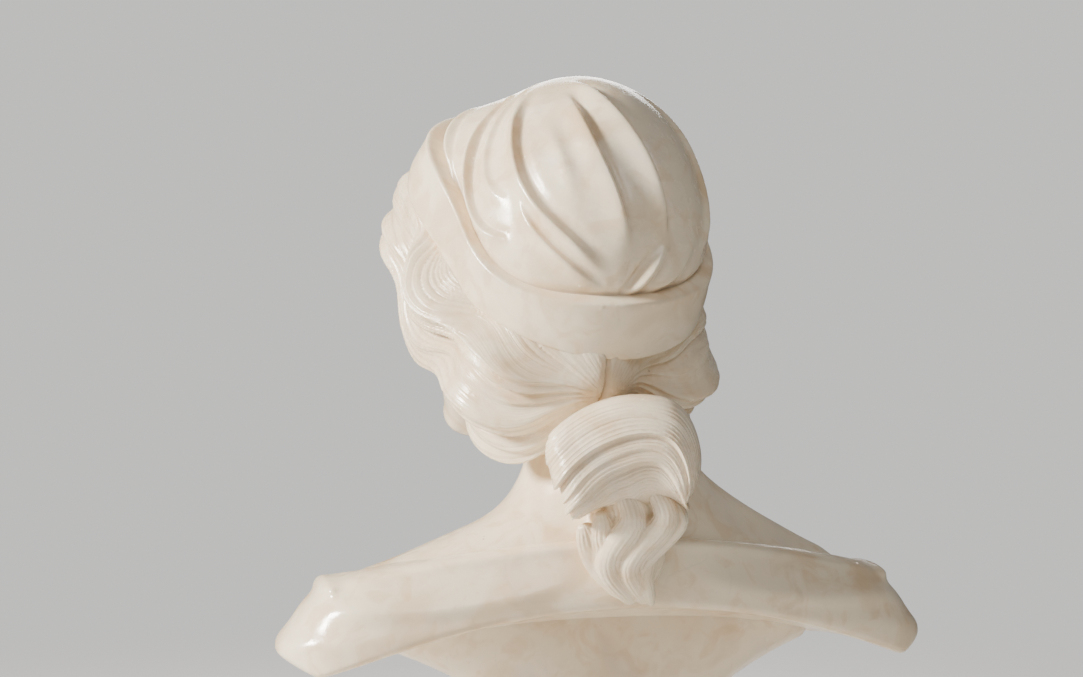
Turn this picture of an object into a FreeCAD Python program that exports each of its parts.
"""Marble bust of a woman in a head cloth, carved from one block and held on a turned socle and a square plinth
by one centre rod. The bust turns on the rod. Millimetres; +Z up; the bust faces -Y and +X is its own left.
The origin is the centre of the felt's underside, on the rod's axis."""

import FreeCAD, Part
import math
import os
import Sketcher

Vector = FreeCAD.Vector
doc = FreeCAD.newDocument("MarbleBust")

# ---------------------------------------------------------------- driving dimensions

SIZES = {
    # the whole object
    "total_height": 500,
    "shoulder_span": 343,
    # stack under the bust, from the table up
    "felt_thick": 3,
    "felt_margin": 4,
    "plinth_side": 150,
    "plinth_thick": 32,
    "plinth_arris": 2.5,
    "socle_height": 87,
    "foot_radius": 66,
    "waist_radius": 35,
    "cap_radius": 50,
    "foot_step": 4,
    "bead_step": 3,
    "cap_step": 2,
    "flare_radius": 14,
    "disc_radius": 32,
    "disc_thick": 2,
    # centre rod, M12, with its nuts and washer
    "rod_radius": 6,
    "rod_bore_radius": 6.5,
    "rod_end_gap": 1,
    "rod_chamfer": 1,
    "bed_hole_radius": 9,
    "bed_hole_depth": 70,
    "bed_over_rod": 4,
    "recess_radius": 22,
    "recess_depth": 20,
    "washer_radius": 18.5,
    "washer_thick": 3,
    "nut_flats": 18,
    "nut_thick": 10,
    "lock_nut_thick": 6,
    # dowels that stop the socle from turning on the plinth
    "dowel_radius": 4,
    "dowel_hole_radius": 4.2,
    "dowel_length": 22,
    "dowel_hole_depth": 12,
    "dowel_offset": 40,
    # shoulders, neck and pier
    "chest_half_depth": 62,
    "neck_radius": 42,
    "pier_radius": 38,
    "rim_above_foot": 68,
    "neck_above_foot": 176,
    "arch_height": 30,
    # head, with the cloth on it
    "head_half_width": 70,
    "head_half_depth": 88,
    "head_half_height": 94,
    "head_side_shift": 20,
    "head_forward": 14,
    "head_turn": 18,
    "head_lean": 6,
    "band_width": 28,
    "band_slope": 36,
    "band_lift": 10,
    "knot_half_width": 38,
    "knot_half_height": 31,
}

sheet = doc.addObject("Spreadsheet::Sheet", "Sizes")
for row, (alias, value) in enumerate(SIZES.items(), start=1):
    sheet.set(f"A{row}", alias)
    sheet.set(f"B{row}", str(value))
    sheet.setAlias(f"B{row}", alias)
doc.recompute()

# Levels up the stack, as expressions on the sheet.
PLINTH_Z = "Sizes.felt_thick"
SOCLE_Z = f"({PLINTH_Z} + Sizes.plinth_thick)"
DISC_Z = f"({SOCLE_Z} + Sizes.socle_height)"
FOOT_Z = f"({DISC_Z} + Sizes.disc_thick)"
ROD_Z = f"({PLINTH_Z} + Sizes.rod_end_gap)"
RECESS_TOP_Z = f"({PLINTH_Z} + Sizes.recess_depth)"
WASHER_Z = f"({RECESS_TOP_Z} - Sizes.washer_thick)"
NUT_Z = f"({WASHER_Z} - Sizes.nut_thick)"
LOCK_NUT_Z = f"({NUT_Z} - Sizes.lock_nut_thick)"
BED_TOP_Z = f"({FOOT_Z} + Sizes.bed_hole_depth)"
ROD_LENGTH = f"{BED_TOP_Z} - Sizes.bed_over_rod - {ROD_Z}"

# ---------------------------------------------------------------- helpers

TOLERANCE = 0.01  # two levels or radii closer than this are the same
OVERCUT = 20  # how far a cutting tool stands out of the solid it cuts
NUT_TURNING = 0.62  # radius of the sphere that rounds a nut's corners, as a share of its width over the flats


def bind(obj, **expressions):
    """Drives each property of obj by an expression; "base_x" stands for Placement.Base.x."""
    for prop, expression in expressions.items():
        path = prop.replace("base_", "Placement.Base.") if prop.startswith("base_") else prop
        obj.setExpression(path, expression)
    return obj


def primitive(kind, name, **expressions):
    return bind(doc.addObject(kind, name), **expressions)


def combine(kind, name, **links):
    obj = doc.addObject(kind, name)
    for prop, value in links.items():
        setattr(obj, prop, value)
    return obj


def new_body(name):
    body = doc.addObject("PartDesign::Body", name)
    body.Label = name
    return body


def new_sketch(body, name, role, level="0"):
    """A sketch on one of the body's own origin planes, lifted to a level along the plane's normal."""
    sketch = body.newObject("Sketcher::SketchObject", name)
    plane = next(p for p in body.Origin.OriginFeatures if p.Role == role)
    sketch.AttachmentSupport = [(plane, "")]
    sketch.MapMode = "FlatFace"
    sketch.setExpression("AttachmentOffset.Base.z", level)
    return sketch


def drive(sketch, constraint, expression):
    index = sketch.addConstraint(constraint)
    sketch.setExpression(f"Constraints[{index}]", expression)


def circle(sketch, radius, x="0", y="0"):
    """A circle with a driven radius, pinned to a driven centre where one is given."""
    edge = sketch.addGeometry(Part.Circle(Vector(1, 1, 0), Vector(0, 0, 1), 5))
    drive(sketch, Sketcher.Constraint("Radius", edge, 5), radius)
    if x == "0" and y == "0":
        sketch.addConstraint(Sketcher.Constraint("Coincident", edge, 3, -1, 1))
        return
    drive(sketch, Sketcher.Constraint("DistanceX", -1, 1, edge, 3, 1), x)
    sketch.addConstraint(Sketcher.Constraint("PointOnObject", edge, 3, -1))


def square(sketch, side):
    """A square centred on the sketch's origin."""
    corners = [Vector(-10, -10, 0), Vector(10, -10, 0), Vector(10, 10, 0), Vector(-10, 10, 0)]
    edges = [sketch.addGeometry(Part.LineSegment(corners[i], corners[(i + 1) % 4])) for i in range(4)]
    for i, edge in enumerate(edges):
        sketch.addConstraint(Sketcher.Constraint("Coincident", edge, 2, edges[(i + 1) % 4], 1))
        sketch.addConstraint(Sketcher.Constraint("Vertical" if i % 2 else "Horizontal", edge))
    sketch.addConstraint(Sketcher.Constraint("Symmetric", edges[0], 1, edges[1], 2, -1, 1))
    drive(sketch, Sketcher.Constraint("DistanceX", edges[0], 1, edges[0], 2, 20), side)
    drive(sketch, Sketcher.Constraint("DistanceY", edges[1], 1, edges[1], 2, 20), side)


def pad(body, name, sketch, length):
    feature = body.newObject("PartDesign::Pad", name)
    feature.Profile = sketch
    feature.setExpression("Length", length)
    sketch.Visibility = False
    doc.recompute()
    return feature


def pocket_up(body, name, sketch, depth):
    """A pocket cut upward from the sketch; it has to take material away."""
    before = body.Shape.Volume
    feature = body.newObject("PartDesign::Pocket", name)
    feature.Profile = sketch
    feature.Reversed = True
    feature.setExpression("Length", depth)
    doc.recompute()
    assert body.Shape.Volume < before - 1, f"{name} cuts nothing"
    return feature


def edges_at(shape, height):
    """Names of the edges that lie flat at a height."""
    found = []
    for i, edge in enumerate(shape.Edges, start=1):
        box = edge.BoundBox
        flat = abs(box.ZMin - height) < TOLERANCE and abs(box.ZMax - height) < TOLERANCE
        if flat:
            found.append(f"Edge{i}")
    return found


def chamfer(body, name, edges, size):
    base = body.Tip
    feature = body.newObject("PartDesign::Chamfer", name)
    feature.Base = (base, edges)
    feature.setExpression("Size", size)
    doc.recompute()
    return feature


def ring(name, outer, inner, level, thick):
    """A flat ring as a padded body."""
    body = new_body(name)
    sketch = new_sketch(body, name + "_outline", "XY_Plane", level)
    circle(sketch, outer)
    circle(sketch, inner)
    pad(body, name + "_pad", sketch, thick)
    return body


def value(expression):
    """The number that an expression on the sheet comes to."""
    return float(sheet.evalExpression(expression.replace("Sizes.", "")))


def arc_between(start, end, radius, side):
    """The shorter arc of a radius between two profile points, rising; it bulges away from the axis or towards it."""
    chord = Vector(end[0] - start[0], end[1] - start[1], 0)
    reach = math.sqrt(max(radius**2 - (chord.Length / 2) ** 2, 0))
    outward = Vector(chord.y, -chord.x, 0).normalize()
    sign = -1 if side == "out" else 1
    middle = Vector((start[0] + end[0]) / 2, (start[1] + end[1]) / 2, 0)
    centre = middle + outward * (sign * reach)
    peak = centre - outward * (sign * radius)
    return Part.Arc(Vector(*start, 0), peak, Vector(*end, 0))


# ---------------------------------------------------------------- base


def make_felt_base():
    body = new_body("felt_base")
    sketch = new_sketch(body, "felt_outline", "XY_Plane")
    square(sketch, "Sizes.plinth_side - 2 * Sizes.felt_margin")
    pad(body, "felt_sheet", sketch, "Sizes.felt_thick")
    return body


def make_plinth():
    """Square slab, with a recess underneath for the nuts and two blind holes on top for the dowels."""
    body = new_body("plinth")
    outline = new_sketch(body, "plinth_outline", "XY_Plane", PLINTH_Z)
    square(outline, "Sizes.plinth_side")
    pad(body, "plinth_slab", outline, "Sizes.plinth_thick")
    top = sheet.felt_thick + sheet.plinth_thick
    chamfer(body, "plinth_arris_cut", edges_at(body.Shape, top), "Sizes.plinth_arris")
    recess = new_sketch(body, "recess_outline", "XY_Plane", PLINTH_Z)
    circle(recess, "Sizes.recess_radius")
    pocket_up(body, "nut_recess", recess, "Sizes.recess_depth")
    bore = new_sketch(body, "plinth_bore_outline", "XY_Plane", PLINTH_Z)
    circle(bore, "Sizes.rod_bore_radius")
    pocket_up(body, "plinth_bore", bore, "Sizes.plinth_thick")
    holes = new_sketch(body, "plinth_dowel_outline", "XY_Plane", f"{SOCLE_Z} - Sizes.dowel_hole_depth")
    circle(holes, "Sizes.dowel_hole_radius", x="Sizes.dowel_offset")
    circle(holes, "Sizes.dowel_hole_radius", x="-Sizes.dowel_offset")
    pocket_up(body, "plinth_dowel_holes", holes, "Sizes.dowel_hole_depth")
    return body


def make_socle():
    """Turned pedestal: fascia, torus, scotia up to a waist, bead, flaring neck and cap, with the rod's bore."""
    body = new_body("socle")
    sketch = new_sketch(body, "socle_profile", "XZ_Plane")
    high = "Sizes.socle_height"
    # Each point is (radius, level above the socle's underside), as shares of the driving dimensions.
    bore, foot, waist, cap = "Sizes.rod_bore_radius", "Sizes.foot_radius", "Sizes.waist_radius", "Sizes.cap_radius"
    points = [
        (bore, "0"),
        (foot, "0"),
        (foot, f"0.08 * {high}"),
        (f"{foot} - Sizes.foot_step", f"0.24 * {high}"),
        (f"{foot} - 2 * Sizes.foot_step", f"0.24 * {high}"),
        (f"{foot} - 2 * Sizes.foot_step", f"0.28 * {high}"),
        (f"{waist} + Sizes.bead_step", f"0.74 * {high}"),
        (f"{waist} + Sizes.bead_step", f"0.82 * {high}"),
        (f"{cap} - Sizes.cap_step", f"0.92 * {high}"),
        (cap, f"0.92 * {high}"),
        (cap, high),
        (bore, high),
    ]
    # The edge that starts at a point is an arc where a radius is listed: torus, scotia, bead and flare.
    arcs = {
        2: (f"0.09 * {high}", "out"),
        5: (f"0.52 * {high}", "in"),
        6: (f"0.05 * {high}", "out"),
        7: ("Sizes.flare_radius", "in"),
    }
    numbers = [(value(x), value(SOCLE_Z) + value(z)) for x, z in points]
    edges = []
    for i, start in enumerate(numbers):
        end = numbers[(i + 1) % len(numbers)]
        if i in arcs:
            radius, side = arcs[i]
            edges.append(sketch.addGeometry(arc_between(start, end, value(radius), side)))
        else:
            edges.append(sketch.addGeometry(Part.LineSegment(Vector(*start, 0), Vector(*end, 0))))
    for i, edge in enumerate(edges):
        radius, side = arcs.get(i, (None, "line"))
        first = 2 if side == "in" else 1
        after = (i + 1) % len(edges)
        after_first = 2 if arcs.get(after, (None, ""))[1] == "in" else 1
        sketch.addConstraint(Sketcher.Constraint("Coincident", edge, 3 - first, edges[after], after_first))
        x, z = points[i]
        drive(sketch, Sketcher.Constraint("DistanceX", -1, 1, edge, first, numbers[i][0]), x)
        drive(sketch, Sketcher.Constraint("DistanceY", -1, 1, edge, first, numbers[i][1]), f"{SOCLE_Z} + {z}")
        if radius:
            drive(sketch, Sketcher.Constraint("Radius", edge, value(radius)), radius)
    turned = body.newObject("PartDesign::Revolution", "socle_turning")
    turned.Profile = sketch
    turned.ReferenceAxis = (sketch, ["V_Axis"])
    turned.Angle = 360
    doc.recompute()
    holes = new_sketch(body, "socle_dowel_outline", "XY_Plane", SOCLE_Z)
    circle(holes, "Sizes.dowel_hole_radius", x="Sizes.dowel_offset")
    circle(holes, "Sizes.dowel_hole_radius", x="-Sizes.dowel_offset")
    pocket_up(body, "socle_dowel_holes", holes, "Sizes.dowel_hole_depth")
    return body


def make_plinth_dowels():
    """Two plain steel pins across the joint between plinth and socle."""
    pins = []
    for side, sign in (("left", ""), ("right", "-")):
        pins.append(
            primitive(
                "Part::Cylinder",
                f"dowel_{side}",
                Radius="Sizes.dowel_radius",
                Height="Sizes.dowel_length",
                base_x=f"{sign}Sizes.dowel_offset",
                base_z=f"{SOCLE_Z} - Sizes.dowel_length / 2",
            )
        )
    return combine("Part::Compound", "plinth_dowels", Links=pins)


# ---------------------------------------------------------------- rod and fasteners


def make_centre_rod():
    body = new_body("centre_rod")
    sketch = new_sketch(body, "rod_outline", "XY_Plane", ROD_Z)
    circle(sketch, "Sizes.rod_radius")
    pad(body, "rod_bar", sketch, ROD_LENGTH)
    ends = edges_at(body.Shape, body.Shape.BoundBox.ZMin) + edges_at(body.Shape, body.Shape.BoundBox.ZMax)
    chamfer(body, "rod_ends", ends, "Sizes.rod_chamfer")
    return body


def make_rod_bedding(rod):
    """Resin that fills the blind hole in the bust's foot around and over the rod."""
    fill = primitive(
        "Part::Cylinder",
        "bedding_fill",
        Radius="Sizes.bed_hole_radius",
        Height="Sizes.bed_hole_depth",
        base_z=FOOT_Z,
    )
    return combine("Part::Cut", "rod_bedding", Base=fill, Tool=rod)


def make_nut(name, level, thick):
    """Hexagon nut with chamfered corners; its bore stands for the thread at full diameter."""
    prism = primitive(
        "Part::Prism", name + "_hexagon", Circumradius="Sizes.nut_flats / 2 / cos(30 deg)", Height=thick, base_z=level
    )
    prism.Polygon = 6
    dome = primitive(
        "Part::Sphere",
        name + "_corner_turning",
        Radius=f"Sizes.nut_flats * {NUT_TURNING}",
        base_z=f"{level} + {thick} / 2",
    )
    turned = combine("Part::Common", name + "_turned", Base=prism, Tool=dome)
    bore = primitive("Part::Cylinder", name + "_bore", Radius="Sizes.rod_radius", Height=thick, base_z=level)
    return combine("Part::Cut", name, Base=turned, Tool=bore)


# ---------------------------------------------------------------- bust


def make_torso():
    """Shoulders, chest and neck as one loft through level ellipses, up into the head. A section is (share of the way
    from the foot to the neck's middle, half width, half depth, how far back and how far left its centre lies)."""
    span, deep, neck = "Sizes.shoulder_span / 2", "Sizes.chest_half_depth", "Sizes.neck_radius"
    pier = "Sizes.pier_radius"
    sections = [
        (0.00, pier, f"{pier} * 0.9", 0, 0),
        (0.09, f"{pier} * 1.05", f"{pier} * 0.95", -0.05, 0),
        (0.20, f"{pier} * 1.6", f"{deep} * 0.72", -0.23, 0),
        (0.30, f"{span} * 0.62", f"{deep} * 0.88", -0.26, 0),
        (0.39, f"{span} * 0.95", f"{deep} * 0.97", -0.19, 0),
        (0.46, span, deep, -0.15, 0),
        (0.57, f"{span} * 0.97", f"{deep} * 0.97", -0.10, 0),
        (0.65, f"{span} * 0.88", f"{deep} * 0.90", -0.05, 0),
        (0.72, f"{span} * 0.63", f"{deep} * 0.80", 0.02, 0),
        (0.79, f"{span} * 0.46", f"{deep} * 0.74", 0.05, 0),
        (0.88, f"{span} * 0.32", f"{deep} * 0.71", 0.05, 0),
        (1.00, neck, f"{neck} * 0.99", 0, 0.02),
        (1.12, f"{neck} * 0.98", f"{neck} * 0.96", -0.02, 0.06),
        (1.35, f"{neck} * 0.99", f"{neck} * 0.98", -0.06, 0.14),
    ]
    rings = []
    for i, (share, wide, depth, back, left) in enumerate(sections):
        rings.append(
            primitive(
                "Part::Ellipse",
                f"torso_section_{i}",
                MajorRadius=wide,
                MinorRadius=depth,
                base_x=f"{left} * {deep}",
                base_y=f"{back} * {deep}",
                base_z=f"{FOOT_Z} + {share} * Sizes.neck_above_foot",
            )
        )
    loft = combine("Part::Loft", "torso_loft", Sections=rings, Solid=True, Ruled=False)
    # The back is hollowed out under the shoulders, which leaves an arched rim, and the pier stands in the hollow.
    hollow = primitive(
        "Part::Ellipsoid",
        "back_hollow",
        Radius1="Sizes.rim_above_foot * 0.96",
        Radius2="Sizes.shoulder_span * 0.44",
        Radius3=f"{deep} * 1.1",
        base_y=f"{deep} * 1.15",
        base_z=f"{FOOT_Z} + Sizes.arch_height * 0.85",
    )
    hollowed = combine("Part::Cut", "torso_hollowed", Base=loft, Tool=hollow)
    back_pier = primitive(
        "Part::Cone",
        "back_pier",
        Radius1=pier,
        Radius2=f"{pier} * 0.75",
        Height="Sizes.rim_above_foot + Sizes.arch_height",
        base_z=FOOT_Z,
    )
    return [hollowed, back_pier, make_shoulder("left", 1), make_shoulder("right", -1)]


def make_shoulder(side, sign):
    """The blunt end of a shoulder, cut off through the upper arm and rounded over."""
    return primitive(
        "Part::Ellipsoid",
        f"shoulder_{side}",
        Radius1="Sizes.rim_above_foot * 0.42",
        Radius2="Sizes.shoulder_span * 0.13",
        Radius3="Sizes.chest_half_depth * 0.78",
        base_x=f"{sign} * Sizes.shoulder_span * 0.37",
        base_y="-0.06 * Sizes.chest_half_depth",
        base_z=f"{FOOT_Z} + Sizes.rim_above_foot * 1.27",
    )


def ellipsoid(name, centre, radii):
    """An ellipsoid in the head's own frame; its centre and radii are shares of the head's half sizes."""
    half = ("Sizes.head_half_width", "Sizes.head_half_depth", "Sizes.head_half_height")
    x, y, z = (f"{share} * {size}" for share, size in zip(centre, half))
    wide, deep, high = (f"{share} * {size}" for share, size in zip(radii, half))
    return primitive("Part::Ellipsoid", name, Radius1=high, Radius2=wide, Radius3=deep, base_x=x, base_y=y, base_z=z)


def make_skull():
    """Cranium, face and jaw as one loft through level ellipses, from under the chin to the crown. A section is
    (height, half width, half depth, how far forward its centre lies), as shares of the head's half sizes."""
    sections = [
        (-1.07, 0.20, 0.16, 0.62),
        (-1.00, 0.36, 0.32, 0.52),
        (-0.80, 0.56, 0.52, 0.36),
        (-0.55, 0.70, 0.68, 0.24),
        (-0.30, 0.80, 0.82, 0.14),
        (0.00, 0.88, 0.93, 0.03),
        (0.35, 0.88, 0.93, 0.00),
        (0.65, 0.72, 0.76, -0.01),
        (0.85, 0.46, 0.52, -0.02),
        (0.93, 0.20, 0.24, -0.02),
    ]
    rings = []
    for i, (up, wide, deep, forward) in enumerate(sections):
        section = primitive(
            "Part::Ellipse",
            f"skull_section_{i}",
            MajorRadius=f"{deep} * Sizes.head_half_depth",
            MinorRadius=f"{wide} * Sizes.head_half_width",
            base_y=f"-{forward} * Sizes.head_half_depth",
            base_z=f"{up} * Sizes.head_half_height",
        )
        section.Placement.Rotation = FreeCAD.Rotation(Vector(0, 0, 1), 90)
        rings.append(section)
    return combine("Part::Loft", "skull_loft", Sections=rings, Solid=True, Ruled=False)


NOSE_SLOPE = -16  # degrees from upright, its tip forward


def make_head():
    """The head, the cloth tied round it and the hair, in a frame with its origin at the head's centre."""
    nose = ellipsoid("nose", (0, -0.84, -0.34), (0.14, 0.15, 0.34))
    nose.Placement.Rotation = FreeCAD.Rotation(Vector(1, 0, 0), NOSE_SLOPE)
    masses = [make_skull(), nose, ellipsoid("head_cloth", (0, 0.10, 0.02), (1, 0.92, 0.98)), make_band()]
    # Hair swept back over each ear: a wave by the temple, one over the ear and one towards the nape.
    waves = [(0.80, -0.34, 0.06, 0.52), (0.70, 0.02, -0.36, 0.60), (0.44, 0.40, -0.66, 0.56)]
    for side, sign in (("left", 1), ("right", -1)):
        for i, (out, back, up, size) in enumerate(waves):
            radii = (size * 0.82, size * 1.05, size)
            masses.append(ellipsoid(f"hair_{side}_{i}", (sign * out, back, up), radii))
    head = combine("Part::MultiFuse", "head_masses", Shapes=masses)
    bind(
        head,
        base_x="Sizes.head_side_shift",
        base_y="-Sizes.head_forward",
        base_z="Sizes.total_height - Sizes.head_half_height",
    )
    turn = FreeCAD.Rotation(Vector(0, 0, 1), sheet.head_turn)
    lean = FreeCAD.Rotation(Vector(0, 1, 0), -sheet.head_lean)
    head.Placement.Rotation = turn.multiply(lean)
    return head


def make_band():
    """The folded edge of the head cloth: a raised band that runs from the nape up over the forehead."""
    swell = ellipsoid("band_swell", (0, 0.05, 0), (1.05, 1.02, 1.02))
    slab = primitive(
        "Part::Box",
        "band_slab",
        Length="4 * Sizes.head_half_width",
        Width="4 * Sizes.head_half_depth",
        Height="Sizes.band_width",
    )
    slope = FreeCAD.Rotation(Vector(1, 0, 0), -sheet.band_slope)
    corner = Vector(-2 * sheet.head_half_width, -2 * sheet.head_half_depth, -sheet.band_width / 2)
    slab.Placement = FreeCAD.Placement(Vector(0, 0, sheet.band_lift) + slope.multVec(corner), slope)
    return combine("Part::Common", "head_band", Base=swell, Tool=slab)


def make_knot():
    """The low knot of hair at the nape, as a thick coil, and the tail that hangs from it over the back."""
    wide, high = "Sizes.knot_half_width", "Sizes.knot_half_height"
    height = f"{FOOT_Z} + Sizes.neck_above_foot"
    coil = primitive(
        "Part::Ellipsoid",
        "hair_knot",
        Radius1=high,
        Radius2=wide,
        Radius3=f"{high} * 0.92",
        base_x=f"{wide} * 0.35",
        base_y=f"{high} * 2.1",
        base_z=f"{height} - 2",
    )
    tail = primitive(
        "Part::Ellipsoid",
        "hair_tail",
        Radius1=f"{high} * 1.35",
        Radius2=f"{wide} * 0.58",
        Radius3=f"{high} * 0.45",
        base_x=f"{wide} * 0.25",
        base_y=f"{high} * 1.72",
        base_z=f"{height} - {high} * 1.15",
    )
    nape = primitive(
        "Part::Ellipsoid",
        "nape_hair",
        Radius1=f"{high} * 1.3",
        Radius2=f"{wide} * 1.35",
        Radius3=f"{high} * 1.1",
        base_x=f"{wide} * 0.35",
        base_y=f"{high} * 1.05",
        base_z=f"{height} + {high} * 0.9",
    )
    return [coil, tail, nape]


def make_bust_carving():
    """The whole bust as one block, with the blind hole in its foot that the rod is bedded in."""
    masses = make_torso() + make_knot() + [make_head()]
    solid = combine("Part::MultiFuse", "carved_masses", Shapes=masses)
    hole = primitive(
        "Part::Cylinder",
        "foot_hole",
        Radius="Sizes.bed_hole_radius",
        Height=f"Sizes.bed_hole_depth + {OVERCUT}",
        base_z=f"{FOOT_Z} - {OVERCUT}",
    )
    return combine("Part::Cut", "bust_carving", Base=solid, Tool=hole)


# ---------------------------------------------------------------- build, check, write


def main():
    rod = make_centre_rod()
    nodes = [
        make_felt_base(),
        make_plinth(),
        make_plinth_dowels(),
        make_socle(),
        ring("bearing_disc", "Sizes.disc_radius", "Sizes.rod_bore_radius", DISC_Z, "Sizes.disc_thick"),
        make_bust_carving(),
        rod,
        make_rod_bedding(rod),
        ring("clamp_washer", "Sizes.washer_radius", "Sizes.rod_bore_radius", WASHER_Z, "Sizes.washer_thick"),
        make_nut("clamp_nut", NUT_Z, "Sizes.nut_thick"),
        make_nut("lock_nut", LOCK_NUT_Z, "Sizes.lock_nut_thick"),
    ]
    doc.recompute()
    for obj in doc.Objects:
        assert "Invalid" not in obj.State and "Error" not in obj.State, f"{obj.Label} failed: {obj.State}"
    os.makedirs("parts", exist_ok=True)
    for node in nodes:
        shape = node.Shape
        assert not shape.isNull() and shape.isValid() and shape.Solids, f"{node.Label} has no valid solid"
        shape.exportStep(f"parts/{node.Label}.step")
        print(f"{node.Label}: {len(shape.Solids)} solid(s), {shape.Volume / 1000:.1f} cm3, {shape.BoundBox}")


main()
